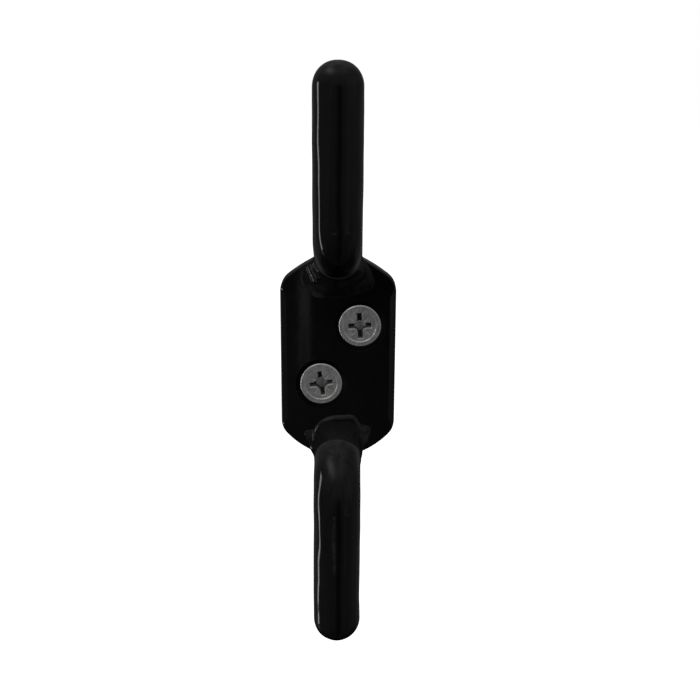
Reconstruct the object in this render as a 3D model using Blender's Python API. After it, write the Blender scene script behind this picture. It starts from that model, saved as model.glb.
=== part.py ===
"""Cord cleat hook: a steel plate, two bent round-bar horns welded to it, and two countersunk wood screws.

Metres. +Z runs up the hook, +X is to the right and the front faces -Y.
The plate's back face lies in the plane y = 0 and the origin is at the centre of that face.
"""
import math

import bmesh
import bpy
from mathutils import Vector

MM = 0.001
GAP = 0.3 * MM                  # left between pieces that touch

# plate
PLATE_HALF_WIDTH = 12.5 * MM
PLATE_THICKNESS = 3.5 * MM
SIDE_HALF_HEIGHT = 14.55 * MM   # straight sides end here
CORNER_RADIUS = 4.7 * MM
CORNER_TURN = math.radians(52)
SHOULDER_RADIUS = 53.0 * MM     # the slope between corner and neck is a flat arc
NECK_HALF_WIDTH = 5.3 * MM
TONGUE_CENTRE = 24.0 * MM       # centre of the round end under each horn
PLATE_EDGE = 0.5 * MM

# horns
OVERALL_LENGTH = 125.0 * MM
BAR_RADIUS = 5.0 * MM
POST_AXIS = 23.2 * MM           # distance of each post's axis from the plate's centre
HORN_STANDOFF = 13.5 * MM       # horn axis above the wall
BEND_RADIUS = 8.0 * MM          # to the bar's centre line
BAR_SIDES = 24
BEND_STEPS = 9
TIP_STEPS = 6

# weld beads: reach along the plate and climb up the post, at the middle and at the ends
BEAD_HALF_ANGLE = math.radians(72)
BEAD_CLIMB = 2.7 * MM
BEAD_CLIMB_AT_ENDS = 1.2 * MM
UPPER_BEAD_REACH = 4.7 * MM
UPPER_BEAD_REACH_AT_ENDS = 1.3 * MM
UPPER_BEAD_FULLNESS = 0.3       # the lower this power, the further round the full reach is kept
LOWER_BEAD_REACH = 4.7 * MM
LOWER_BEAD_REACH_AT_ENDS = 0.8 * MM
LOWER_BEAD_FULLNESS = 1.0
BEAD_STATIONS = 22
BEAD_ARC_POINTS = 6

# screws: 5 x 30 countersunk wood screws with a cross recess
HEAD_RADIUS = 4.6 * MM
HEAD_RIM = 0.3 * MM
HEAD_SINK = 0.25 * MM           # head face below the plate's front face
SHANK_RADIUS = 2.5 * MM
THREAD_CORE_RADIUS = 1.65 * MM
THREAD_PITCH = 2.2 * MM
THREAD_START = 4.2 * MM         # depths below the head's face
POINT_START = 25.5 * MM
SCREW_LENGTH = 30.0 * MM
RINGS_PER_PITCH = 6
SCREW_SIDES = 16
UPPER_SCREW = (4.75 * MM, 7.1 * MM, math.radians(3.5))      # x, z, turn seen from the front
LOWER_SCREW = (-3.7 * MM, -6.05 * MM, math.radians(9.5))

# countersunk holes in the plate
COUNTERSINK_RADIUS = 5.6 * MM
HOLE_RADIUS = 2.8 * MM
HOLE_SIDES = 40

# cross recess
WING_REACH = 2.5 * MM
WING_HALF_WIDTH = 0.55 * MM
CORE_REACH = 1.05 * MM          # where two wings meet, along each wing
RECESS_DEPTH = 2.4 * MM
RECESS_TIP_DEPTH = 2.9 * MM
RECESS_TAPER = 0.52             # size at RECESS_DEPTH against size at the face


def clear_scene():
    for item in list(bpy.data.objects):
        bpy.data.objects.remove(item, do_unlink=True)


def material(name, colour, roughness, metallic):
    made = bpy.data.materials.new(name)
    made.use_nodes = True
    shader = made.node_tree.nodes["Principled BSDF"]
    shader.inputs["Base Color"].default_value = (*colour, 1.0)
    shader.inputs["Roughness"].default_value = roughness
    shader.inputs["Metallic"].default_value = metallic
    return made


def add_object(name, mesh_data, look=None):
    """Turn a bmesh into a smooth-shaded object with outward faces."""
    bmesh.ops.recalc_face_normals(mesh_data, faces=mesh_data.faces)
    mesh = bpy.data.meshes.new(name)
    mesh_data.to_mesh(mesh)
    mesh_data.free()
    mesh.shade_smooth()
    mesh.set_sharp_from_angle(angle=math.radians(35))
    made = bpy.data.objects.new(name, mesh)
    bpy.context.collection.objects.link(made)
    if look is not None:
        mesh.materials.append(look)
    return made


def loft(rings, first_tip=None, last_tip=None):
    """Join rings of equal point counts by quads; close each end with a face, or with a fan to a tip point."""
    shape = bmesh.new()
    rows = [[shape.verts.new(point) for point in ring] for ring in rings]
    count = len(rows[0])
    for near, far in zip(rows, rows[1:]):
        for i in range(count):
            j = (i + 1) % count
            shape.faces.new((near[i], near[j], far[j], far[i]))
    for row, tip in ((rows[0], first_tip), (rows[-1], last_tip)):
        if tip is None:
            shape.faces.new(row)
            continue
        end = shape.verts.new(tip)
        for i in range(count):
            shape.faces.new((row[i], row[(i + 1) % count], end))
    return shape


def make_cutter(name, shape, location, turn=0.0):
    cutter = add_object(name, shape)
    cutter.location = location
    cutter.rotation_euler = (0.0, turn, 0.0)
    cutter.hide_render = True
    cutter.display_type = 'WIRE'
    return cutter


def cut(target, cutter):
    boolean = target.modifiers.new(cutter.name, 'BOOLEAN')
    boolean.operation = 'DIFFERENCE'
    boolean.solver = 'EXACT'
    boolean.object = cutter


def arc_points(centre, radius, start, end, steps):
    """Points along an arc in the plate's plane, angles from +X towards +Z."""
    points = []
    for step in range(steps + 1):
        angle = start + (end - start) * step / steps
        points.append((centre[0] + radius * math.cos(angle), centre[1] + radius * math.sin(angle)))
    return points


def plate_outline():
    """The plate's edge as (x, z) points, anticlockwise seen with +X right and +Z up."""
    corner_centre = (PLATE_HALF_WIDTH - CORNER_RADIUS, SIDE_HALF_HEIGHT)
    corner = arc_points(corner_centre, CORNER_RADIUS, 0.0, CORNER_TURN, 7)
    # the shoulder arc leaves the corner arc at a tangent, so both centres lie on one line
    reach = SHOULDER_RADIUS - CORNER_RADIUS
    shoulder_centre = (corner_centre[0] - reach * math.cos(CORNER_TURN),
                       corner_centre[1] - reach * math.sin(CORNER_TURN))
    shoulder_end = math.acos((NECK_HALF_WIDTH - shoulder_centre[0]) / SHOULDER_RADIUS)
    shoulder = arc_points(shoulder_centre, SHOULDER_RADIUS, CORNER_TURN, shoulder_end, 4)[1:]
    tongue = arc_points((0.0, TONGUE_CENTRE), NECK_HALF_WIDTH, 0.0, math.pi / 2, 8)
    quarter = corner + shoulder + tongue
    upper = quarter + [(-x, z) for x, z in reversed(quarter[:-1])]
    return upper + [(-x, -z) for x, z in upper]


def countersink_cutter(name, x, z):
    """A turned solid: cone open to the front, then a straight hole through the back."""
    margin = 0.5 * MM
    cone_depth = COUNTERSINK_RADIUS - HOLE_RADIUS      # 90 degree countersink
    profile = ((COUNTERSINK_RADIUS + margin, -PLATE_THICKNESS - margin),
               (HOLE_RADIUS, -PLATE_THICKNESS + cone_depth),
               (HOLE_RADIUS, margin))
    rings = []
    for radius, y in profile:
        angles = [2 * math.pi * i / HOLE_SIDES for i in range(HOLE_SIDES)]
        rings.append([(radius * math.cos(a), y, radius * math.sin(a)) for a in angles])
    return make_cutter(name, loft(rings), (x, 0.0, z))


def make_plate(look):
    outline = plate_outline()
    back = [(x, 0.0, z) for x, z in outline]
    front = [(x, -PLATE_THICKNESS, z) for x, z in outline]
    plate = add_object("base_plate", loft([back, front]), look)
    rounding = plate.modifiers.new("rounded_edges", 'BEVEL')
    rounding.width = PLATE_EDGE
    rounding.segments = 2
    rounding.limit_method = 'ANGLE'
    rounding.angle_limit = math.radians(50)
    for name, place in (("upper_hole_cutter", UPPER_SCREW), ("lower_hole_cutter", LOWER_SCREW)):
        cut(plate, countersink_cutter(name, place[0], place[1]))
    return plate


def horn_shape():
    """A round bar standing on the plate and bent over towards +Z, about its foot's centre."""
    foot = GAP
    bend_start = HORN_STANDOFF - BEND_RADIUS - PLATE_THICKNESS
    tip_centre = OVERALL_LENGTH / 2 - POST_AXIS - BAR_RADIUS
    stations = [(foot, 0.0, 0.0, BAR_RADIUS)]          # height, run, lean, radius
    for step in range(BEND_STEPS + 1):
        lean = math.pi / 2 * step / BEND_STEPS
        stations.append((bend_start + BEND_RADIUS * math.sin(lean),
                         BEND_RADIUS * (1 - math.cos(lean)), lean, BAR_RADIUS))
    top = HORN_STANDOFF - PLATE_THICKNESS
    for step in range(TIP_STEPS):
        angle = math.pi / 2 * step / TIP_STEPS
        stations.append((top, tip_centre + BAR_RADIUS * math.sin(angle), math.pi / 2,
                         BAR_RADIUS * math.cos(angle)))
    rings = []
    for height, run, lean, radius in stations:
        ring = []
        for side in range(BAR_SIDES):
            angle = 2 * math.pi * side / BAR_SIDES
            across = radius * math.cos(angle)
            within = radius * math.sin(angle)
            ring.append((across, -height + within * math.sin(lean), run + within * math.cos(lean)))
        rings.append(ring)
    return loft(rings, last_tip=(0.0, -top, tip_centre + BAR_RADIUS))


def bead_shape(reach_at_middle, reach_at_ends, fullness_power):
    """A fillet of weld metal round the side of a post that faces the plate's centre (-Z)."""
    inner = BAR_RADIUS + GAP
    sections = []
    for station in range(BEAD_STATIONS + 1):
        around = BEAD_HALF_ANGLE * (2 * station / BEAD_STATIONS - 1)
        to_middle = math.cos(around / BEAD_HALF_ANGLE * math.pi / 2)
        fullness = to_middle ** fullness_power if station % BEAD_STATIONS else 0.0
        reach = reach_at_ends + (reach_at_middle - reach_at_ends) * fullness
        climb = BEAD_CLIMB_AT_ENDS + (BEAD_CLIMB - BEAD_CLIMB_AT_ENDS) * fullness
        outward = Vector((math.sin(around), 0.0, -math.cos(around)))
        section = [outward * inner + Vector((0.0, -GAP, 0.0))]
        for step in range(BEAD_ARC_POINTS + 1):
            angle = math.pi / 2 * step / BEAD_ARC_POINTS
            along = inner + reach * math.cos(angle) ** 1.4
            up = GAP + 0.1 * MM + climb * math.sin(angle) ** 1.4
            section.append(outward * along + Vector((0.0, -up, 0.0)))
        sections.append(section)
    return loft(sections)


def screw_radius(depth, angle):
    """Radius of the threaded part at a depth below the head's face, with the crest on a helix."""
    to_point = (SCREW_LENGTH - depth) / (SCREW_LENGTH - POINT_START)
    narrowing = min(1.0, max(0.0, to_point))
    phase = (depth / THREAD_PITCH - angle / (2 * math.pi)) % 1.0
    ridge = max(0.0, 1.0 - abs(phase - 0.5) / 0.3)
    fade_in = min(1.0, (depth - THREAD_START) / THREAD_PITCH)
    crest = (SHANK_RADIUS - THREAD_CORE_RADIUS) * ridge * fade_in
    return (THREAD_CORE_RADIUS + crest) * (0.12 + 0.88 * narrowing)


def screw_shape():
    """Countersunk head, short neck, tapered-point thread. The head's face is at y = 0 and the point is at +Y."""
    neck_depth = HEAD_RIM + HEAD_RADIUS - SHANK_RADIUS
    plain = ((0.0, HEAD_RADIUS - 0.15 * MM), (0.12 * MM, HEAD_RADIUS), (HEAD_RIM, HEAD_RADIUS),
             (neck_depth, SHANK_RADIUS), (neck_depth + 0.9 * MM, SHANK_RADIUS))
    angles = [2 * math.pi * i / SCREW_SIDES for i in range(SCREW_SIDES)]
    rings = [[(radius * math.cos(a), depth, radius * math.sin(a)) for a in angles] for depth, radius in plain]
    count = round((SCREW_LENGTH - THREAD_START) / THREAD_PITCH * RINGS_PER_PITCH)
    for row in range(count):
        depth = THREAD_START + (SCREW_LENGTH - THREAD_START) * row / count
        rings.append([(screw_radius(depth, a) * math.cos(a), depth, screw_radius(depth, a) * math.sin(a))
                      for a in angles])
    return loft(rings, last_tip=(0.0, SCREW_LENGTH, 0.0))


def recess_cutter(name, x, y, z, turn):
    """A tapered cross with a short point, standing out of the head's face."""
    outline = []
    for quarter in range(4):
        swing = math.pi / 2 * quarter
        for across, along in ((-WING_HALF_WIDTH, WING_REACH), (WING_HALF_WIDTH, WING_REACH),
                              (CORE_REACH, CORE_REACH)):
            outline.append((along * math.cos(swing) - across * math.sin(swing),
                            along * math.sin(swing) + across * math.cos(swing)))
    rings = []
    for depth in (-0.5 * MM, RECESS_DEPTH):
        size = 1.0 - (1.0 - RECESS_TAPER) * depth / RECESS_DEPTH
        rings.append([(size * px, depth, size * pz) for px, pz in outline])
    return make_cutter(name, loft(rings, last_tip=(0.0, RECESS_TIP_DEPTH, 0.0)), (x, y, z), turn)


def make_screw(name, place, look):
    x, z, turn = place
    y = -PLATE_THICKNESS + HEAD_SINK
    screw = add_object(name, screw_shape(), look)
    screw.location = (x, y, z)
    screw.rotation_euler = (0.0, -turn, 0.0)
    cut(screw, recess_cutter(name + "_recess_cutter", x, y, z, -turn))
    return screw


def place_welded(name, shape, side, look):
    """Stand a piece on the plate's front at a post's axis; side is 1 for the upper post and -1 for the lower."""
    piece = add_object(name, shape, look)
    piece.location = (0.0, -PLATE_THICKNESS, side * POST_AXIS)
    if side < 0:
        piece.rotation_euler = (0.0, math.pi, 0.0)
    return piece


def main():
    clear_scene()
    black = material("black_enamel", (0.008, 0.008, 0.009), 0.22, 0.0)
    zinc = material("bright_zinc", (0.42, 0.43, 0.41), 0.35, 1.0)
    plate = make_plate(black)
    upper_bead = bead_shape(UPPER_BEAD_REACH, UPPER_BEAD_REACH_AT_ENDS, UPPER_BEAD_FULLNESS)
    lower_bead = bead_shape(LOWER_BEAD_REACH, LOWER_BEAD_REACH_AT_ENDS, LOWER_BEAD_FULLNESS)
    welded = (place_welded("upper_horn", horn_shape(), 1, black),
              place_welded("lower_horn", horn_shape(), -1, black),
              place_welded("upper_weld_bead", upper_bead, 1, black),
              place_welded("lower_weld_bead", lower_bead, -1, black))
    for piece in welded:
        piece.parent = plate
    make_screw("upper_screw", UPPER_SCREW, zinc)
    make_screw("lower_screw", LOWER_SCREW, zinc)


main()
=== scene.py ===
"""The looks of a gloss black cord cleat hook with bright zinc screws.

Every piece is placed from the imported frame's own boxes, in metres. The front faces -Y and +Z is up.
"""
import math

import bmesh
import bpy
import numpy as np
from mathutils import Matrix, Vector, noise


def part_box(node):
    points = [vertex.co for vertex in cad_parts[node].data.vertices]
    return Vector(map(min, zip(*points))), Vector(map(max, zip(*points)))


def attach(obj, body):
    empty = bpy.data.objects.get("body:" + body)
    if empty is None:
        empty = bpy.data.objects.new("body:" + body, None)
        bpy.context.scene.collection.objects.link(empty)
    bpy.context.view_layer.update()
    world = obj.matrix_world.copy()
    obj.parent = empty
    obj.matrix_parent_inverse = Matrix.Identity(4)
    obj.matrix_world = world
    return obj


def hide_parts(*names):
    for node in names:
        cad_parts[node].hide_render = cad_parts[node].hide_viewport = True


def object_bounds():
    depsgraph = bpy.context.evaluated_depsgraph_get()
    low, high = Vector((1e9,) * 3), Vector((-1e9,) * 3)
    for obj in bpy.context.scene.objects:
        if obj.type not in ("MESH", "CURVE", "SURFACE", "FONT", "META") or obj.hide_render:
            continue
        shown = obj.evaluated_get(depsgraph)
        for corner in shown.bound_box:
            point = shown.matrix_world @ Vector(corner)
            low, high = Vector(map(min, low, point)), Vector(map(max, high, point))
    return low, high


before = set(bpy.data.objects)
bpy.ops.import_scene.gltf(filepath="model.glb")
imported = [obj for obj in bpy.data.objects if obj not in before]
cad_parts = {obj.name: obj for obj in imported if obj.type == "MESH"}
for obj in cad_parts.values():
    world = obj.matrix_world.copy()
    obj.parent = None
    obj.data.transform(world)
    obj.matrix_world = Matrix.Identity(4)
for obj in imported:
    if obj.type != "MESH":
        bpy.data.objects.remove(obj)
CAD_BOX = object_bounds()

MM = 0.001
TAU = 2 * math.pi

# ---- sizes read from the frame ----
PLATE_LOW, PLATE_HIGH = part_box("base_plate")
HORN_LOW, HORN_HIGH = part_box("upper_horn")
HALF_WIDTH = PLATE_HIGH[0] + 0.06 * MM      # the coat adds a little
PLATE_FRONT = PLATE_LOW[1]
TONGUE_END = PLATE_HIGH[2]
BAR_RADIUS = HORN_HIGH[0]
HORN_AXIS_Y = HORN_LOW[1] + BAR_RADIUS
POST_AXIS = HORN_LOW[2] + BAR_RADIUS
HORN_TIP = HORN_HIGH[2]

# ---- plate: the side's end, corner radius, how far the corner turns, shoulder radius, neck half width ----
UPPER_END = (14.80 * MM, 4.4 * MM, math.radians(52), 36.0 * MM, 4.95 * MM)
LOWER_END = (14.60 * MM, 4.5 * MM, math.radians(43), 19.0 * MM, 5.35 * MM)
OUTLINE_STEP = 0.22 * MM
CHAMFER_TURN = math.radians(24)  # the front edge is pressed to a shallow chamfer with eased ends
CHAMFER_INSET = 1.4 * MM
EASE_INSET = 0.2 * MM
ROUND_INSET = 0.32 * MM
BACK_EDGE = 0.3 * MM

# ---- horns ----
BEND_RADIUS = 8.0 * MM
COAT = 0.11 * MM                # thickness of the coat over the bar
TIP_COAT = 0.03 * MM

# ---- countersinks and screws ----
COUNTERSINK_RADIUS = 5.6 * MM
HOLE_RADIUS = 2.8 * MM
HOLE_SIDES = 128
LIP = 0.25 * MM                 # radius of the coat over the countersink's edge
HEAD_RADIUS = 4.6 * MM
HEAD_RIM = 0.3 * MM
SHANK_RADIUS = 2.5 * MM
THREAD_CORE_RADIUS = 1.65 * MM
THREAD_PITCH = 2.2 * MM
THREAD_START = 4.2 * MM
POINT_START = 25.5 * MM
HEAD_SIDES = 320
SHANK_SIDES = 80

# ---- the look of places on the coat and on the zinc ----
DULL_ROUGHNESS = 0.6            # in the countersinks and beside the lower post
DULL_METALLIC = 0.85
BESIDE_POST_DULLNESS = 0.85
SCUFFED_COLOUR = (0.045, 0.045, 0.045, 1.0)
# painted shade deep in the screws' cross recesses
RECESS_SHADE_COLOUR = (0.035, 0.035, 0.03, 1.0)
ZINC_METALLIC = 0.65

# ---- camera: lens, place, downward pitch and roll ----
LENS, SENSOR_WIDTH = 51.16, 36.0
CAMERA_PLACE = (2.63 * MM, -213.6 * MM, 58.0 * MM)
CAMERA_PITCH, CAMERA_ROLL = 0.2614, 0.0063


# ------------------------------------------------------------------ mesh helpers

def smoothstep(low, high, value):
    t = min(1.0, max(0.0, (value - low) / (high - low)))
    return t * t * (3 - 2 * t)


def swell(point, wavelength, amount):
    """Smooth random relief with about the given wavelength, in metres."""
    return amount * noise.noise(Vector(point) / wavelength)


def mesh_object(name, vertices, faces):
    mesh = bpy.data.meshes.new(name)
    mesh.from_pydata(vertices, [], faces)
    shape = bmesh.new()
    shape.from_mesh(mesh)
    bmesh.ops.recalc_face_normals(shape, faces=shape.faces)
    shape.to_mesh(mesh)
    shape.free()
    mesh.shade_smooth()
    made = bpy.data.objects.new(name, mesh)
    bpy.context.collection.objects.link(made)
    return made


def ring_faces(near, far):
    """Quads between two rings of vertex numbers. The near ring's count may be a multiple of the far one's."""
    ratio = len(near) // len(far)
    faces = []
    for i in range(len(far)):
        j = (i + 1) % len(far)
        run = [near[(i * ratio + k) % len(near)] for k in range(ratio + 1)]
        faces.append((*run, far[j], far[i]))
    return faces


def skin(name, rings, close=False, first_tip=None, last_tip=None):
    """A surface over rings of points, closed to a loop or at its ends by fans to tip points."""
    vertices, rows = [], []
    for ring in rings:
        rows.append(list(range(len(vertices), len(vertices) + len(ring))))
        vertices.extend(ring)
    faces = []
    for near, far in zip(rows, rows[1:] + (rows[:1] if close else [])):
        faces += ring_faces(near, far)
    if not close:
        for row, tip in ((rows[0], first_tip), (rows[-1], last_tip)):
            if tip is None:
                faces.append(tuple(row))
                continue
            vertices.append(tip)
            faces += [(row[i], row[(i + 1) % len(row)], len(vertices) - 1) for i in range(len(row))]
    return mesh_object(name, vertices, faces)


def dress(piece, body, node, look):
    piece.data.materials.append(look)
    piece.visible_glossy = False      # the pieces aren't mirrored in each other's gloss
    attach(piece, body)
    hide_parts(node)


# ------------------------------------------------------------------ horns

def horn_stations(side):
    """Centre, lean and radius at each station from the foot to the tip, for side 1 (up) or -1 (down)."""
    bend_y = HORN_AXIS_Y + BEND_RADIUS
    foot_y = PLATE_FRONT + 0.15 * MM
    stations = []
    for step in range(13):
        stations.append((foot_y + (bend_y - foot_y) * step / 12, POST_AXIS, 0.0, BAR_RADIUS))
    for step in range(1, 41):
        lean = math.pi / 2 * step / 40
        stations.append((bend_y - BEND_RADIUS * math.sin(lean),
                         POST_AXIS + BEND_RADIUS * (1 - math.cos(lean)), lean, BAR_RADIUS))
    straight_start = POST_AXIS + BEND_RADIUS
    tip_centre = HORN_TIP - BAR_RADIUS
    for step in range(1, 81):
        stations.append((HORN_AXIS_Y, straight_start + (tip_centre - straight_start) * step / 80,
                         math.pi / 2, BAR_RADIUS))
    for step in range(1, 24):
        angle = math.pi / 2 * step / 24
        stations.append((HORN_AXIS_Y, tip_centre + (BAR_RADIUS + TIP_COAT) * math.sin(angle), math.pi / 2,
                         BAR_RADIUS * math.cos(angle) ** 0.94))
    return [(y, side * z, side * lean, radius) for y, z, lean, radius in stations]


def coat_relief(x, y, z, seed):
    """Unevenness of the thick coat on the bars: long soft runs along the bar."""
    runs = swell((x + seed, y, z * 0.55), 3.2 * MM, 0.080 * MM)
    waves = swell((x, y + seed, z * 0.55), 8.0 * MM, 0.090 * MM)
    # a long thick run of coat down the left of the front
    round_left = math.degrees(math.atan2(-x, HORN_AXIS_Y - y))
    thick = sum(amount * math.exp(-((z / MM - middle) / reach) ** 2)
                for middle, reach, amount in ((33, 9, 0.24), (-36, 4, 0.18), (-56, 7, -0.14)))
    run_down = thick * MM * math.exp(-((round_left - 35) / 18) ** 2)
    return runs + waves + run_down + COAT


def make_horn(name, side, seed):
    sides = 128
    rings = []
    for y, z, lean, radius in horn_stations(side):
        ring = []
        for i in range(sides):
            angle = TAU * i / sides
            across, within = math.cos(angle), math.sin(angle)
            out = (across, within * math.sin(lean), within * math.cos(lean))
            px, py, pz = radius * out[0], y + radius * out[1], z + radius * out[2]
            lift = coat_relief(px, py, pz, seed) * min(1.0, radius / BAR_RADIUS + 0.5)
            ring.append((px + lift * out[0], py + lift * out[1], pz + lift * out[2]))
        rings.append(ring)
    return skin(name, rings, last_tip=(0.0, HORN_AXIS_Y, side * (HORN_TIP + TIP_COAT)))


# ------------------------------------------------------------------ weld beads

def bump_at(angle, centre, width):
    """A soft rise of height 1 round the angle called centre, in degrees."""
    away = (angle - centre + 180.0) % 360.0 - 180.0
    return math.exp(-(away / width) ** 2)


class Bead:
    """One bead's shape. Angles are degrees round the post: 0 towards the plate's centre, + to the right."""
    def __init__(self, reach, skirt, bevel, scuffs, edge_height, edge_width, lumps, fine_lumps, ridges):
        self.reach, self.skirt, self.bevel, self.scuffs = reach, skirt, bevel, scuffs
        self.edge_height, self.edge_width = edge_height, edge_width
        self.lumps, self.fine_lumps, self.ridges = lumps, fine_lumps, ridges


def upper_reach(angle):
    """How far the bead's rim stands out from the bar, in millimetres; so too lower_reach."""
    broad = 4.85 * math.exp(-(abs(angle) / 68.0) ** 8) + 0.15
    return broad + 0.2 * bump_at(angle, -30, 16) + 0.4 * bump_at(angle, 48, 9) - 0.3 * bump_at(angle, 18, 12)


def upper_skirt(angle):
    """How far a thin skirt of metal runs on past the rim, in millimetres; so too lower_skirt."""
    return 0.4 * bump_at(angle, -56, 12) + 0.8 * bump_at(angle, -28, 14) + 0.5 * bump_at(angle, 40, 12)


def lower_reach(angle):
    broad = 4.75 * math.exp(-(abs(angle) / 57.0) ** 2.6) + 0.15
    return broad + 0.9 * bump_at(angle, 20, 10) + 0.6 * bump_at(angle, -71, 9) + 0.12 * bump_at(angle, 84, 8)


def lower_skirt(angle):
    return 2.6 * bump_at(angle, 47, 11) + 0.9 * bump_at(angle, 62, 5) + 2.4 * bump_at(angle, -52, 9)


def lower_bevel(angle):
    """Where the rim is a straight bevel rather than round."""
    return smoothstep(-100.0, -86.0, angle) * (1.0 - smoothstep(-50.0, -25.0, angle))


def upper_scuffs(angle, along):
    """How scuffed the coat is, along millimetres out from the post's axis; so too lower_scuffs."""
    return 0.9 * bump_at(angle, -31, 12) * math.exp(-((along - 10.2) / 0.8) ** 2) \
        + 0.7 * bump_at(angle, 36, 12) * math.exp(-((along - 8.6) / 1.3) ** 2)


def lower_scuffs(angle, along):
    return 0.9 * bump_at(angle, 50, 14) * math.exp(-((along - 8.6) / 1.5) ** 2) \
        + 0.6 * bump_at(angle, -54, 11) * math.exp(-((along - 8.8) / 1.2) ** 2)


# a ridge: its two ends as (x, z), the height at each, the flank's slope and half its width, in millimetres
UPPER_BEAD = Bead(upper_reach, upper_skirt, None, upper_scuffs, 0.55, 2.3, 0.24, 0.003,
                  (((-6.75, 20.9), (-5.1, 17.1), 0.9, 1.7, 1.0, 0.20),
                   ((-5.6, 20.3), (-4.3, 17.9), 1.5, 1.9, 0.5, 0.22)))
LOWER_BEAD = Bead(lower_reach, lower_skirt, lower_bevel, lower_scuffs, 1.0, 0.85, 0.12, 0.012,
                  (((-5.3, -17.2), (-5.3, -18.9), 1.3, 1.3, 0.95, 0.14),))


def with_ridge(rise, x, z, ridge):
    """The height with a ridge of weld metal over it: a straight flank up from the left, eased at the top."""
    (ax, az), (bx, bz), start_height, end_height, slope, half_width = ridge
    along = (az - z) / (az - bz)
    off = x - (ax + (bx - ax) * along)
    flank = start_height + (end_height - start_height) * along + slope * off
    share = (1.0 - smoothstep(half_width, 3.0 * half_width, abs(off))) \
        * smoothstep(-0.14, 0.06, along) * (1.0 - smoothstep(0.94, 1.14, along))
    return rise + (flank - rise) * share


def bead_section(bead, angle):
    """(distance from the post's axis, height) from the toe up to the bar, in millimetres."""
    reach, skirt = bead.reach(angle), bead.skirt(angle)
    fullness = min(1.0, reach / 4.5)
    climb = 0.6 + 2.1 * fullness
    edge_height = bead.edge_height * fullness ** 0.5 * min(1.0, climb)
    edge_width = min(bead.edge_width * (1.0 + 0.7 * bump_at(angle, 45, 26)), 0.6 * reach)
    bevel = bead.bevel(angle) if bead.bevel else 0.0
    edge_width += (edge_height / 1.17 - edge_width) * bevel
    skirt_height = min(0.65 * edge_height, 0.28 * skirt)
    radius = BAR_RADIUS / MM
    section = []
    for k in range(7):
        t = k / 6
        section.append((radius + reach + skirt * (1 - t), skirt_height * (1.15 * t - 0.15 * t * t)))
    for k in range(1, 15):
        t = math.pi / 2 * k / 14
        inward = 1 - max(0.0, math.cos(t)) + bevel * (k / 14 - 1 + max(0.0, math.cos(t)))
        upward = math.sin(t) + bevel * (k / 14 - math.sin(t))
        if bead.bevel is None:                    # this bead's toe runs out softly on the plate
            inward, upward = k / 14, smoothstep(0.0, 1.0, k / 14)
        section.append((radius + reach - edge_width * inward,
                        skirt_height + (edge_height - skirt_height) * upward))
    for k in range(1, 23):
        t = k / 22
        section.append((radius + (reach - edge_width) * (1 - t),
                        edge_height + (climb - edge_height) * (0.7 * t + 0.3 * t ** 4)))
    return section


def make_bead(name, side, bead, seed):
    """A closed ring of weld metal round a post's foot. side is 1 for the upper post and -1 for the lower."""
    around = 420
    inner = BAR_RADIUS - 0.35 * MM
    base_y = PLATE_FRONT + 0.3 * MM
    rings = []
    for i in range(around):
        turn = TAU * i / around
        degrees = (math.degrees(turn) + 180.0) % 360.0 - 180.0
        out_x, out_z = math.sin(turn), -side * math.cos(turn)
        ring = [(inner * out_x, base_y, side * POST_AXIS + inner * out_z)]
        for k, (along, height) in enumerate(bead_section(bead, degrees)):
            x, z = along * MM * out_x, side * POST_AXIS + along * MM * out_z
            lumps = swell((x + seed, 0.0, z), 3.6 * MM, bead.lumps * MM)
            lumps += swell((x, seed, z), 0.9 * MM, bead.fine_lumps * MM)
            if bead.bevel:
                lumps *= 1.0 - 0.8 * bead.bevel(degrees)
            rise = height + lumps / MM * smoothstep(0.0, 0.7, height)
            for ridge in bead.ridges:
                rise = with_ridge(rise, x / MM, z / MM, ridge)
            y = base_y if k == 0 else PLATE_FRONT - max(rise, 0.02) * MM
            ring.append((x, y, z))
        ring.append((inner * out_x, ring[-1][1] - 0.2 * MM, side * POST_AXIS + inner * out_z))
        rings.append(ring)
    made = skin(name, rings, close=True)
    # where the coat is scuffed grey
    scuffs = made.data.attributes.new("scuffed_coat", 'FLOAT', 'POINT')
    dull = made.data.attributes.new("dull_coat", 'FLOAT', 'POINT')
    for vertex in made.data.vertices:
        off_x, off_z = vertex.co.x / MM, (vertex.co.z - side * POST_AXIS) / MM
        degrees = math.degrees(math.atan2(off_x, -side * off_z))
        ragged = 0.55 + 1.1 * noise.noise(Vector((off_x * 0.9, off_z * 0.9, seed)))
        scuffs.data[vertex.index].value = max(0.0, ragged) * bead.scuffs(degrees, math.hypot(off_x, off_z))
        inner_slope = math.hypot(off_x, off_z) < BAR_RADIUS / MM + bead.reach(degrees) - 0.5
        if bead.bevel and (-140.0 < degrees < -84.0 or inner_slope and -85.0 < degrees < -68.0):
            dull.data[vertex.index].value = BESIDE_POST_DULLNESS
    return made


# ------------------------------------------------------------------ plate

def arc(centre_x, centre_z, radius, start, end):
    steps = max(2, round(radius * abs(end - start) / OUTLINE_STEP))
    angles = [start + (end - start) * i / steps for i in range(steps + 1)]
    return [(centre_x + radius * math.cos(a), centre_z + radius * math.sin(a)) for a in angles]


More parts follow.
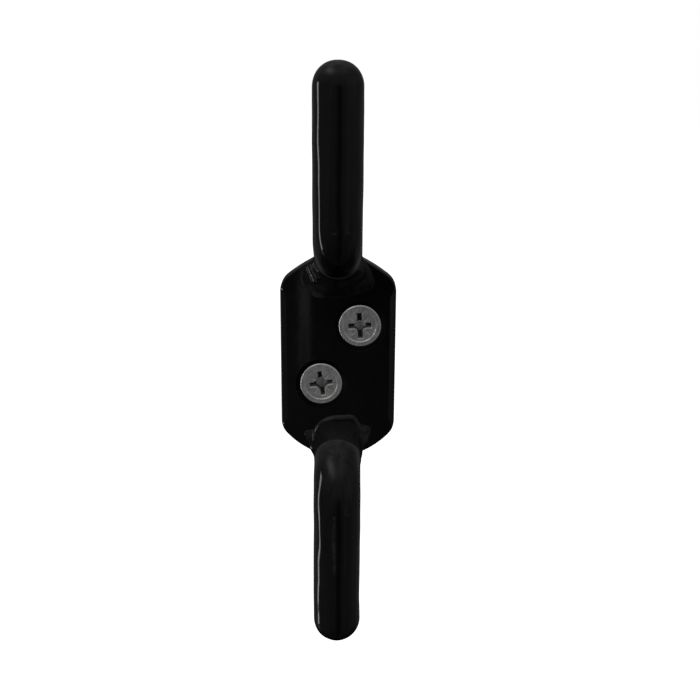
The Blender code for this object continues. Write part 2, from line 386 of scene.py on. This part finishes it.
def plate_outline():
    """Evenly spaced points round the plate's edge as an array of (x, z), with the neck's corners eased."""
    halves = []
    for side_end, corner_radius, corner_turn, shoulder_radius, neck in (UPPER_END, LOWER_END):
        corner_x = HALF_WIDTH - corner_radius
        corner = arc(corner_x, side_end, corner_radius, 0.0, corner_turn)
        reach = shoulder_radius - corner_radius
        shoulder_x = corner_x - reach * math.cos(corner_turn)
        shoulder_z = side_end - reach * math.sin(corner_turn)
        shoulder_end = math.acos((neck - shoulder_x) / shoulder_radius)
        shoulder = arc(shoulder_x, shoulder_z, shoulder_radius, corner_turn, shoulder_end)[1:]
        tongue = arc(0.0, TONGUE_END - neck, neck, 0.0, math.pi / 2)
        quarter = corner + shoulder + tongue
        halves.append(quarter + [(-x, z) for x, z in reversed(quarter[:-1])])
    upper, lower = halves
    loop = np.array(upper + [(-x, -z) for x, z in lower])
    loop = loop[np.linalg.norm(loop - np.roll(loop, 1, axis=0), axis=1) > 1e-7]
    spans = np.linalg.norm(np.roll(loop, -1, axis=0) - loop, axis=1)
    along = np.concatenate(([0.0], np.cumsum(spans)))
    closed = np.vstack((loop, loop[:1]))
    count = 4 * round(along[-1] / OUTLINE_STEP / 4)
    places = np.arange(count) * along[-1] / count
    even = np.column_stack((np.interp(places, along, closed[:, 0]), np.interp(places, along, closed[:, 1])))
    for _ in range(6):
        even = 0.5 * even + 0.25 * (np.roll(even, 1, axis=0) + np.roll(even, -1, axis=0))
    return even


def inset(loop, distance):
    """The loop moved inwards along its normals, less on the shoulders than on the straight sides."""
    along = np.roll(loop, -1, axis=0) - np.roll(loop, 1, axis=0)
    along /= np.linalg.norm(along, axis=1, keepdims=True)
    inward = np.column_stack((-along[:, 1], along[:, 0]))
    share = np.array([1.0 - 0.78 * smoothstep(13.0 * MM, 16.5 * MM, abs(z)) for _, z in loop])
    return loop + inward * share[:, None] * distance


def hole_profile():
    """(radius, y) down a countersunk hole: eased lip, 90 degree cone, straight hole, back face."""
    points = []
    for step in range(13):
        angle = math.pi / 4 * step / 12
        points.append((COUNTERSINK_RADIUS + LIP * (math.tan(math.pi / 8) - math.sin(angle)),
                       PLATE_FRONT + LIP * (1 - math.cos(angle))))
    cone_end = PLATE_FRONT + COUNTERSINK_RADIUS - HOLE_RADIUS
    points += [(HOLE_RADIUS + 0.1 * MM, cone_end - 0.1 * MM), (HOLE_RADIUS, cone_end + 0.05 * MM),
               (HOLE_RADIUS, 0.0)]
    return points


def rim_profile():
    """(inset, depth) over the front edge: eased start, chamfer, rounded arris."""
    ease = EASE_INSET / math.sin(CHAMFER_TURN)
    round_radius = ROUND_INSET / (1 - math.sin(CHAMFER_TURN))
    points = []
    for step in range(7):
        turn = CHAMFER_TURN * step / 6
        points.append((CHAMFER_INSET - ease * math.sin(turn), ease * (1 - math.cos(turn))))
    start_inset, start_depth = points[-1]
    for step in range(1, 6):
        run = (start_inset - ROUND_INSET) * step / 5
        points.append((start_inset - run, start_depth + run * math.tan(CHAMFER_TURN)))
    depth = points[-1][1]
    for step in range(1, 13):
        turn = CHAMFER_TURN + (math.pi / 2 - CHAMFER_TURN) * step / 12
        points.append((round_radius * (1 - math.sin(turn)),
                       depth + round_radius * (math.cos(CHAMFER_TURN) - math.cos(turn))))
    return points


def make_plate(centres):
    outline = plate_outline()
    shape = bmesh.new()

    def loop_of(points, y):
        return [shape.verts.new((px, y, pz)) for px, pz in points]

    def bridge(near, far):
        for i in range(len(near)):
            j = (i + 1) % len(near)
            shape.faces.new((near[i], near[j], far[j], far[i]))

    def edges_of(loop):
        return [shape.edges.get((loop[i], loop[(i + 1) % len(loop)])) for i in range(len(loop))]

    # the rim, from the front face round to the back
    loops = []
    for distance, depth in rim_profile():
        loops.append(loop_of(inset(outline, distance), PLATE_FRONT + depth))
    for step in range(1, 6):
        y = PLATE_FRONT + depth + (-BACK_EDGE - PLATE_FRONT - depth) * step / 5
        loops.append(loop_of(outline, y))
    for step in range(1, 5):
        angle = math.pi / 2 * step / 4
        loops.append(loop_of(inset(outline, BACK_EDGE * (1 - math.cos(angle))),
                             -BACK_EDGE * (1 - math.sin(angle))))
    for near, far in zip(loops, loops[1:]):
        bridge(near, far)
    front_edges, back_edges = edges_of(loops[0]), edges_of(loops[-1])
    # the countersunk holes
    for centre_x, centre_z in centres:
        rings = []
        for radius, y in hole_profile():
            turns = [TAU * i / HOLE_SIDES for i in range(HOLE_SIDES)]
            circle = [(centre_x + radius * math.cos(a), centre_z + radius * math.sin(a)) for a in turns]
            rings.append(loop_of(circle, y))
        for near, far in zip(rings, rings[1:]):
            bridge(near, far)
        front_edges += edges_of(rings[0])
        back_edges += edges_of(rings[-1])
    bmesh.ops.triangle_fill(shape, edges=front_edges, use_beauty=True)
    bmesh.ops.triangle_fill(shape, edges=back_edges, use_beauty=True)
    bmesh.ops.recalc_face_normals(shape, faces=shape.faces)
    mesh = bpy.data.meshes.new("plate_coated")
    shape.to_mesh(mesh)
    shape.free()
    mesh.shade_smooth()
    for face in mesh.polygons:
        face.use_smooth = abs(face.normal.y) < 0.99999
    # the coat is thin and dull inside the countersinks
    dull = mesh.attributes.new("dull_coat", 'FLOAT', 'POINT')
    for vertex in mesh.vertices:
        away = min(math.hypot(vertex.co.x - cx, vertex.co.z - cz) for cx, cz in centres)
        if vertex.co.y > PLATE_FRONT + 0.02 * MM and away < COUNTERSINK_RADIUS + 0.1 * MM:
            dull.data[vertex.index].value = 1.0
    made = bpy.data.objects.new("plate_coated", mesh)
    bpy.context.collection.objects.link(made)
    return made


# ------------------------------------------------------------------ screws

def box_distance(across, along, half_width, reach):
    """Signed distance to a rectangle centred on the origin, negative inside."""
    dx, dy = abs(across) - half_width, abs(along) - reach
    outside = math.hypot(max(dx, 0.0), max(dy, 0.0))
    return outside + min(max(dx, dy), 0.0)


def blend_min(a, b, width):
    """The smaller of two distances, with the crease between them eased."""
    share = max(width - abs(a - b), 0.0) / width
    return min(a, b) - share * share * width / 4


def head_depth(radius, angle, head):
    """Depth of the face below its plane, in millimetres: rim, dished disc, cross recess and tick marks."""
    across, along = radius * math.cos(angle), radius * math.sin(angle)
    rim = 0.24 * max(0.0, (radius - head.rim_start) / (4.62 - head.rim_start)) ** 2
    low_side = 0.5 - 0.5 * math.sin(angle + head.turn - head.dish_lean)        # 1 at the bottom of the head
    dish = (1.0 - smoothstep(3.40, 3.58, radius)) * (0.03 + 0.13 * smoothstep(0.25, 0.8, low_side))
    rounded_step = 0.045 * math.exp(-((radius - 3.72) / 0.13) ** 2) * low_side
    half = head.wing_half_width
    cross = blend_min(box_distance(across, along, half, head.upright_reach),
                      box_distance(along, across, half, head.wing_reach), head.core_ease)
    wall = min(1.0, max(0.0, (0.02 - cross) / 0.16))
    edge = 0.06 * math.exp(-((cross - 0.02) / 0.07) ** 2)
    recess = (2.5 - 0.30 * radius) * wall ** 1.2 + edge
    ticks = 0.0
    for quarter in range(4):
        swing = angle - math.pi / 4 - quarter * math.pi / 2
        run, off = radius * math.cos(swing), radius * math.sin(swing)
        if run > 0:
            ends = smoothstep(1.1, 1.35, run) * (1.0 - smoothstep(2.3, 3.0, run))
            breadth = 0.26 - 0.05 * run
            ticks = max(ticks, 0.12 * ends * max(0.0, 1.0 - abs(off) / breadth))
    dents = 0.050 * noise.noise(Vector((across * 1.0, along * 1.0, head.worn))) \
        + 0.034 * noise.noise(Vector((across * 3.0, along * 3.0, head.worn + 7.0)))
    return rim + dish - rounded_step + max(recess, ticks) + dents * (1.0 - smoothstep(4.2, 4.6, radius))


def screw_radius(depth, angle, length):
    narrowing = min(1.0, max(0.0, (length - depth) / (length - POINT_START)))
    phase = (depth / THREAD_PITCH - angle / TAU) % 1.0
    ridge = max(0.0, 1.0 - abs(phase - 0.5) / 0.3)
    ridge = min(ridge, 0.93) / 0.93
    fade_in = min(1.0, max(0.0, (depth - THREAD_START) / THREAD_PITCH))
    crest = (SHANK_RADIUS - THREAD_CORE_RADIUS) * ridge ** 1.2 * fade_in
    return (THREAD_CORE_RADIUS + crest) * (0.10 + 0.90 * narrowing ** 0.85)


class Head:
    """How one head was struck. Turns are anticlockwise from the front, in radians; lengths in millimetres."""
    def __init__(self, turn, dish_lean, wing_half_width, wing_reach, upright_reach, core_ease,
                 rim_start, worn):
        self.turn, self.dish_lean = turn, dish_lean
        self.wing_half_width, self.wing_reach, self.upright_reach = wing_half_width, wing_reach, upright_reach
        self.core_ease = core_ease
        self.rim_start, self.worn = rim_start, worn


UPPER_HEAD = Head(math.radians(3.5), math.radians(5), 0.58, 2.55, 2.85, 0.9, 4.36, 1.3)
LOWER_HEAD = Head(math.radians(9.5), math.radians(10), 0.50, 2.60, 2.75, 1.5, 4.40, 5.1)


def make_screw(name, node, head):
    """A countersunk wood screw about the axis of its CAD node: its head and its threaded shank."""
    low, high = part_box(node)
    centre_x, centre_z = (low[0] + high[0]) / 2, (low[2] + high[2]) / 2
    face_y, length = low[1], high[1] - low[1]

    def place(radius, depth, angle):
        swing = angle + head.turn
        return (centre_x + radius * math.cos(swing), face_y + depth, centre_z + radius * math.sin(swing))

    def edge_wobble(angle):
        """The head's rim is not quite round."""
        swing = angle + head.turn
        return 0.05 * MM * noise.noise(Vector((1.3 * math.cos(swing), 1.3 * math.sin(swing),
                                               head.worn + 3.0)))

    head_angles = [TAU * i / HEAD_SIDES for i in range(HEAD_SIDES)]
    rings = []
    face_steps = 160
    for step in range(1, face_steps + 1):
        share = step / face_steps
        rings.append([place(HEAD_RADIUS * share + edge_wobble(a) * share ** 4,
                            head_depth(HEAD_RADIUS / MM * share, a, head) * MM, a) for a in head_angles])
    neck_depth = HEAD_RIM + HEAD_RADIUS - SHANK_RADIUS
    for radius, depth in ((HEAD_RADIUS, HEAD_RIM), (HEAD_RADIUS - 0.05 * MM, HEAD_RIM + 0.05 * MM),
                          ((HEAD_RADIUS + SHANK_RADIUS) / 2, (HEAD_RIM + neck_depth) / 2),
                          (SHANK_RADIUS + 0.1 * MM, neck_depth - 0.1 * MM)):
        rings.append([place(radius, depth, a) for a in head_angles])
    made = skin(name + "_head", rings, first_tip=place(0.0, head_depth(0.0, 0.0, head) * MM, 0.0),
                last_tip=place(0.0, neck_depth, 0.0))
    shank_angles = [TAU * i / SHANK_SIDES for i in range(SHANK_SIDES)]
    rings = []
    for depth in (neck_depth - 0.15 * MM, neck_depth + 0.3 * MM, THREAD_START - 0.9 * MM):
        rings.append([place(SHANK_RADIUS, depth, a) for a in shank_angles])
    rows = 430
    for row in range(rows):
        depth = THREAD_START + (length - THREAD_START) * row / rows
        rings.append([place(screw_radius(depth, a, length), depth, a) for a in shank_angles])
    shank = skin(name + "_shank", rings, first_tip=place(0.0, neck_depth - 0.15 * MM, 0.0),
                 last_tip=place(0.0, length, 0.0))
    # painted shade for the material, from how deep in the recess each point of the face lies: 0 at the face,
    # 1 deep in a wing, a little less near the middle
    recess_shade_values = made.data.attributes.new("recess_shade_mask", 'FLOAT', 'POINT')
    # painted highlight: the colour is lightened at the rim all round and along the struck disc's edge on its
    # lower side, where the light falls
    bright = made.data.attributes.new("painted_edge_highlight", 'FLOAT', 'POINT')
    for vertex in made.data.vertices[:face_steps * HEAD_SIDES]:
        below = (vertex.co.y - face_y) / MM
        radius = math.hypot(vertex.co.x - centre_x, vertex.co.z - centre_z) / MM
        recess_shade_values.data[vertex.index].value = (smoothstep(0.25, 1.3, below)
                                           * (1.0 - 0.18 * math.exp(-(radius / 0.8) ** 2)))
        angle = math.atan2(vertex.co.z - centre_z, vertex.co.x - centre_x)
        low_side = 0.5 - 0.5 * math.sin(angle - head.dish_lean)
        bright.data[vertex.index].value = max(smoothstep(4.26, 4.42, radius),
                                              low_side * math.exp(-((radius - 3.60) / 0.12) ** 2))
    return made, shank


# ------------------------------------------------------------------ materials

def new_look(name):
    look = bpy.data.materials.new(name)
    look.use_nodes = True
    return look, look.node_tree.nodes, look.node_tree.links, look.node_tree.nodes["Principled BSDF"]


def noise_node(nodes, links, scale, detail, stretch=(1, 1, 1)):
    """A noise texture in millimetres: scale is features per millimetre."""
    coordinates = nodes.new("ShaderNodeTexCoord")
    mapping = nodes.new("ShaderNodeMapping")
    mapping.inputs["Scale"].default_value = tuple(s / MM for s in stretch)
    texture = nodes.new("ShaderNodeTexNoise")
    texture.inputs["Scale"].default_value = scale
    texture.inputs["Detail"].default_value = detail
    links.new(coordinates.outputs["Object"], mapping.inputs["Vector"])
    links.new(mapping.outputs["Vector"], texture.inputs["Vector"])
    return texture.outputs["Fac"]


def ranged(nodes, links, source, low, high, from_low=0.35, from_high=0.65):
    """The source's middle values spread between low and high."""
    spread = nodes.new("ShaderNodeMapRange")
    spread.inputs["From Min"].default_value = from_low
    spread.inputs["From Max"].default_value = from_high
    spread.inputs["To Min"].default_value = low
    spread.inputs["To Max"].default_value = high
    links.new(source, spread.inputs["Value"])
    return spread.outputs["Result"]


def colours(nodes, links, source, *stops):
    ramp = nodes.new("ShaderNodeValToRGB")
    while len(ramp.color_ramp.elements) < len(stops):
        ramp.color_ramp.elements.new(0.5)
    for element, (position, colour) in zip(ramp.color_ramp.elements, stops):
        element.position = position
        element.color = (*colour, 1.0)
    links.new(source, ramp.inputs["Fac"])
    return ramp.outputs["Color"]


def bump_chain(nodes, links, shader, *layers):
    """Bump layers of (height source, distance in metres, strength), one after another."""
    last = None
    for source, distance, strength in layers:
        bump = nodes.new("ShaderNodeBump")
        bump.inputs["Distance"].default_value = distance
        bump.inputs["Strength"].default_value = strength
        links.new(source, bump.inputs["Height"])
        if last is not None:
            links.new(last, bump.inputs["Normal"])
        last = bump.outputs["Normal"]
    links.new(last, shader.inputs["Normal"])


def math_node(nodes, links, operation, first, second=None):
    made = nodes.new("ShaderNodeMath")
    made.operation = operation
    for socket, value in zip(made.inputs, (first, second)):
        if value is None:
            continue
        if isinstance(value, (int, float)):
            socket.default_value = value
        else:
            links.new(value, socket)
    return made.outputs["Value"]


def enamel(name, peel, roughness_low, roughness_high, tint):
    """Baked black enamel: near-black colour, orange peel and faint handling marks."""
    look, nodes, links, shader = new_look(name)
    tone = noise_node(nodes, links, 0.5, 3)
    coat = colours(nodes, links, tone, (0.35, tuple(0.0020 * t for t in tint)),
                   (0.65, tuple(0.0036 * t for t in tint)))
    scuffed = nodes.new("ShaderNodeAttribute")
    scuffed.attribute_name = "scuffed_coat"
    mix = nodes.new("ShaderNodeMix")
    mix.data_type = 'RGBA'
    links.new(scuffed.outputs["Fac"], mix.inputs["Factor"])
    links.new(coat, mix.inputs["A"])
    mix.inputs["B"].default_value = SCUFFED_COLOUR
    links.new(mix.outputs["Result"], shader.inputs["Base Color"])
    haze = noise_node(nodes, links, 0.8, 4, (1, 1, 0.4))
    gloss = ranged(nodes, links, haze, roughness_low, roughness_high)
    shader.inputs["IOR"].default_value = 1.5
    dull = nodes.new("ShaderNodeAttribute")
    dull.attribute_name = "dull_coat"
    matt = ranged(nodes, links, dull.outputs["Fac"], 0.0, DULL_ROUGHNESS, 0.0, 1.0)
    links.new(math_node(nodes, links, 'MAXIMUM', gloss, matt), shader.inputs["Roughness"])
    # a near-black metal mirrors next to nothing, which keeps these places dark
    links.new(ranged(nodes, links, dull.outputs["Fac"], 0.0, DULL_METALLIC, 0.0, 1.0),
              shader.inputs["Metallic"])
    orange_peel = noise_node(nodes, links, 0.9, 1)
    fine = noise_node(nodes, links, 3.5, 2)
    bump_chain(nodes, links, shader, (orange_peel, 0.012 * MM, peel), (fine, 0.0015 * MM, peel))
    return look


def zinc(name):
    """Bright zinc plate: neutral grey, a faint passivate tint, fine tumbling marks, a painted highlight at
    the rim and the disc's lower edge, painted shade in the recess.
    """
    look, nodes, links, shader = new_look(name)
    tone = noise_node(nodes, links, 0.8, 4)
    worn = colours(nodes, links, tone, (0.34, (0.62, 0.62, 0.64)), (0.5, (0.74, 0.74, 0.74)),
                   (0.66, (0.84, 0.85, 0.79)))
    # painted highlight: towards white at the rim and along the disc's lower edge
    bright = nodes.new("ShaderNodeAttribute")
    bright.attribute_name = "painted_edge_highlight"
    edge_highlight_mix = nodes.new("ShaderNodeMix")
    edge_highlight_mix.data_type = 'RGBA'
    links.new(bright.outputs["Fac"], edge_highlight_mix.inputs["Factor"])
    links.new(worn, edge_highlight_mix.inputs["A"])
    edge_highlight_mix.inputs["B"].default_value = (1.0, 1.0, 1.0, 1.0)
    plated_with_highlight = edge_highlight_mix.outputs["Result"]
    # painted shade: the colour is darkened deep in the recess, least so at its middle
    depth = nodes.new("ShaderNodeAttribute")
    depth.attribute_name = "recess_shade_mask"
    recess_shade_share = ranged(nodes, links, depth.outputs["Fac"], 0.0, 1.0, 0.15, 0.8)
    mix = nodes.new("ShaderNodeMix")
    mix.data_type = 'RGBA'
    links.new(recess_shade_share, mix.inputs["Factor"])
    links.new(plated_with_highlight, mix.inputs["A"])
    mix.inputs["B"].default_value = RECESS_SHADE_COLOUR
    links.new(mix.outputs["Result"], shader.inputs["Base Color"])
    shader.inputs["Metallic"].default_value = ZINC_METALLIC
    grain = noise_node(nodes, links, 2.0, 4)
    links.new(ranged(nodes, links, grain, 0.20, 0.42), shader.inputs["Roughness"])
    dents = noise_node(nodes, links, 1.4, 3)
    fine = noise_node(nodes, links, 7.0, 3)
    bump_chain(nodes, links, shader, (dents, 0.03 * MM, 0.9), (fine, 0.006 * MM, 0.8))
    return look


# ------------------------------------------------------------------ light, floor, camera

class Room:
    """Node helpers for a world whose brightness depends on azimuth and elevation, in degrees."""
    def __init__(self, nodes, links):
        self.nodes, self.links = nodes, links
        parts = nodes.new("ShaderNodeSeparateXYZ")
        links.new(nodes.new("ShaderNodeTexCoord").outputs["Generated"], parts.inputs["Vector"])
        x, y, z = (parts.outputs[axis] for axis in "XYZ")
        to_degrees = 180.0 / math.pi
        self.azimuth = self.math('MULTIPLY', self.math('ARCTAN2', x, self.math('MULTIPLY', y, -1.0)),
                                 to_degrees)
        self.elevation = self.math('MULTIPLY', self.math('ARCSINE', z), to_degrees)

    def math(self, operation, first, second=None):
        return math_node(self.nodes, self.links, operation, first, second)

    def bell_power(self, source, centre, width):
        share = self.math('DIVIDE', self.math('SUBTRACT', source, centre), width)
        return self.math('MULTIPLY', share, share)

    def glow(self, azimuth, elevation, width, height, strength):
        """A soft patch; width and height are the distances at which it falls to 37 percent."""
        away = self.math('ADD', self.bell_power(self.azimuth, azimuth, width),
                         self.bell_power(self.elevation, elevation, height))
        return self.math('MULTIPLY', self.math('EXPONENT', self.math('MULTIPLY', away, -1.0)), strength)

    def height_ramp(self, *stops):
        """Brightness by elevation."""
        ramp = self.nodes.new("ShaderNodeValToRGB")
        while len(ramp.color_ramp.elements) < len(stops):
            ramp.color_ramp.elements.new(0.5)
        for element, (elevation, value) in zip(ramp.color_ramp.elements, stops):
            element.position = (elevation + 90.0) / 180.0
            element.color = (value, value, value, 1.0)
        place = self.math('DIVIDE', self.math('ADD', self.elevation, 90.0), 180.0)
        self.links.new(place, ramp.inputs["Fac"])
        return ramp.outputs["Color"]


def make_world():
    """White to the camera; to the object, a dim room that is darkest a little right of straight in front."""
    world = bpy.data.worlds.new("studio")
    bpy.context.scene.world = world
    world.use_nodes = True
    nodes, links = world.node_tree.nodes, world.node_tree.links
    nodes.clear()
    room = Room(nodes, links)
    base = room.height_ramp((-90, 0.03), (-65, 0.042), (-42, 0.072), (-10, 0.10), (8, 0.105),
                            (22, 0.135), (38, 0.165), (52, 0.215), (66, 0.30), (90, 0.22))
    # furniture of the room: soft vertical streaks
    streak_place = nodes.new("ShaderNodeCombineXYZ")
    links.new(room.math('MULTIPLY', room.azimuth, 0.07), streak_place.inputs["X"])
    links.new(room.math('MULTIPLY', room.elevation, 0.03), streak_place.inputs["Y"])
    streaks = nodes.new("ShaderNodeTexNoise")
    streaks.inputs["Scale"].default_value = 1.0
    streaks.inputs["Detail"].default_value = 2.0
    links.new(streak_place.outputs["Vector"], streaks.inputs["Vector"])
    light = room.math('MULTIPLY', base, ranged(nodes, links, streaks.outputs["Fac"], 0.8, 1.2))
    # the gap the camera looks through
    gap = room.math('EXPONENT', room.math('MULTIPLY', room.bell_power(room.azimuth, 8.0, 16.0), -1.0))
    gap = room.math('MULTIPLY', gap, ranged(nodes, links, room.elevation, 0.72, 0.0, 2.0, 12.0))
    light = room.math('MULTIPLY', light, room.math('SUBTRACT', 1.0, gap))
    # the dark middle of the gap, which the plate mirrors
    light = room.math('MULTIPLY', light, room.math('SUBTRACT', 1.0, room.glow(0.5, -10.5, 4.5, 5.0, 0.72)))
    # shadow low down behind
    turned_away = room.math('ABSOLUTE', room.azimuth)
    for azimuths, elevations, depth in (((75, 120), (-42, -28), 0.75), ((150, 168), (-4, 4), 0.85)):
        behind = ranged(nodes, links, turned_away, 0.0, depth, *azimuths)
        low_down = ranged(nodes, links, room.elevation, 1.0, 0.0, *elevations)
        light = room.math('MULTIPLY', light,
                          room.math('SUBTRACT', 1.0, room.math('MULTIPLY', behind, low_down)))
    for patch in ((70, 12, 28, 14, 0.07),            # pale wall to the right
                  (-75, 62, 40, 16, 0.12),           # a white ceiling panel up on the left
                  (-70, 57, 34, 10, 0.44),           # the panel's brightest part
                  (140, 50, 45, 30, -0.045),         # a dimmer corner behind on the right
                  (45, -15, 12, 8, 0.03),            # pale things low on the right
                  (-106, -38, 4, 7, 0.6),            # the foot of the strip light's stand
                  (-2.54, -12.0, 0.17, 2.4, 0.20),   # a narrow upright thing mirrored in the plate
                  (-2.84, -12.0, 0.18, 2.4, 0.19),
                  (-2.95, -15.4, 0.12, 1.6, 0.12),
                  (-2.50, -15.4, 0.12, 1.6, 0.12),
                  (-13, -25.3, 6, 1.3, 0.20),        # two small bright things low down
                  (56, -21.6, 12, 1.3, 0.10)):
        light = room.math('ADD', light, room.glow(*patch))
    dim = nodes.new("ShaderNodeBackground")
    dim.inputs["Color"].default_value = (1.0, 1.0, 1.0, 1.0)
    links.new(light, dim.inputs["Strength"])
    backdrop = nodes.new("ShaderNodeBackground")
    backdrop.inputs["Color"].default_value = (1.0, 1.0, 1.0, 1.0)
    mix = nodes.new("ShaderNodeMixShader")
    links.new(nodes.new("ShaderNodeLightPath").outputs["Is Camera Ray"], mix.inputs["Fac"])
    links.new(dim.outputs["Background"], mix.inputs[1])
    links.new(backdrop.outputs["Background"], mix.inputs[2])
    output = nodes.new("ShaderNodeOutputWorld")
    links.new(mix.outputs["Shader"], output.inputs["Surface"])


def make_light(name, target, azimuth, elevation, distance, width, height, power):
    """An area light that faces the target. Azimuth is in degrees from the front, + to the right."""
    data = bpy.data.lights.new(name, 'AREA')
    data.shape = 'RECTANGLE'
    data.size, data.size_y, data.energy = width, height, power
    made = bpy.data.objects.new(name, data)
    a, e = math.radians(azimuth), math.radians(elevation)
    towards = Vector((math.sin(a) * math.cos(e), -math.cos(a) * math.cos(e), math.sin(e)))
    made.location = Vector(target) + towards * distance
    made.rotation_mode = 'QUATERNION'
    made.rotation_quaternion = towards.to_track_quat('Z', 'Y')
    made.visible_camera = False
    bpy.context.collection.objects.link(made)
    return made


def make_floor():
    """A large pale floor under the lower horn. It glows a little; glossy and diffuse rays don't see it."""
    look, nodes, links, shader = new_look("floor_white")
    shader.inputs["Base Color"].default_value = (0.9, 0.9, 0.9, 1.0)
    shader.inputs["Emission Color"].default_value = (1.0, 1.0, 1.0, 1.0)
    shader.inputs["Emission Strength"].default_value = 0.95
    side, z = 3.0, CAD_BOX[0][2] - 14 * MM
    floor = mesh_object("floor", [(-side, -side, z), (side, -side, z), (side, side, z), (-side, side, z)],
                        [(0, 1, 2, 3)])
    floor.data.materials.append(look)
    floor.visible_glossy = False
    floor.visible_diffuse = False


def make_camera():
    data = bpy.data.cameras.new("camera")
    data.lens, data.sensor_width = LENS, SENSOR_WIDTH
    camera = bpy.data.objects.new("camera", data)
    camera.location = CAMERA_PLACE
    turned = Matrix.Rotation(math.pi / 2 - CAMERA_PITCH, 3, 'X') @ Matrix.Rotation(CAMERA_ROLL, 3, 'Z')
    camera.rotation_euler = turned.to_euler()
    bpy.context.collection.objects.link(camera)
    bpy.context.scene.camera = camera


# ------------------------------------------------------------------ build

def screw_centre(node):
    low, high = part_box(node)
    return (low[0] + high[0]) / 2, (low[2] + high[2]) / 2


make_camera()
make_world()
make_floor()
ORIGIN = (0.0, 0.0, 0.0)
make_light("strip_left", ORIGIN, -97.5, -9.3, 0.575, 0.085, 0.55, 0.415)
# this one lifts only the matt share of each surface
make_light("matt_fill", ORIGIN, -40, 35, 0.6, 0.3, 0.3, 0.74).visible_glossy = False

plate_look = enamel("plate_enamel_black", 0.07, 0.025, 0.045, (1.0, 1.0, 1.0))
horn_look = enamel("horn_enamel_black", 0.6, 0.05, 0.09, (1.0, 0.98, 1.12))
bead_look = enamel("bead_enamel_black", 0.25, 0.07, 0.12, (1.0, 1.0, 1.0))
zinc_look = zinc("zinc_bright")

dress(make_plate([screw_centre("upper_screw"), screw_centre("lower_screw")]), "hook", "base_plate",
      plate_look)
for side, word, bead in ((1, "upper", UPPER_BEAD), (-1, "lower", LOWER_BEAD)):
    dress(make_horn(word + "_horn_coated", side, side * 0.31), "hook", word + "_horn",
          horn_look)
    dress(make_bead(word + "_bead_coated", side, bead, side * 0.17), "hook", word + "_weld_bead",
          bead_look)
for node, head in (("upper_screw", UPPER_HEAD), ("lower_screw", LOWER_HEAD)):
    for piece in make_screw(node + "_zinc", node, head):
        dress(piece, node, node, zinc_look)

bpy.context.scene.view_settings.view_transform = 'Standard'
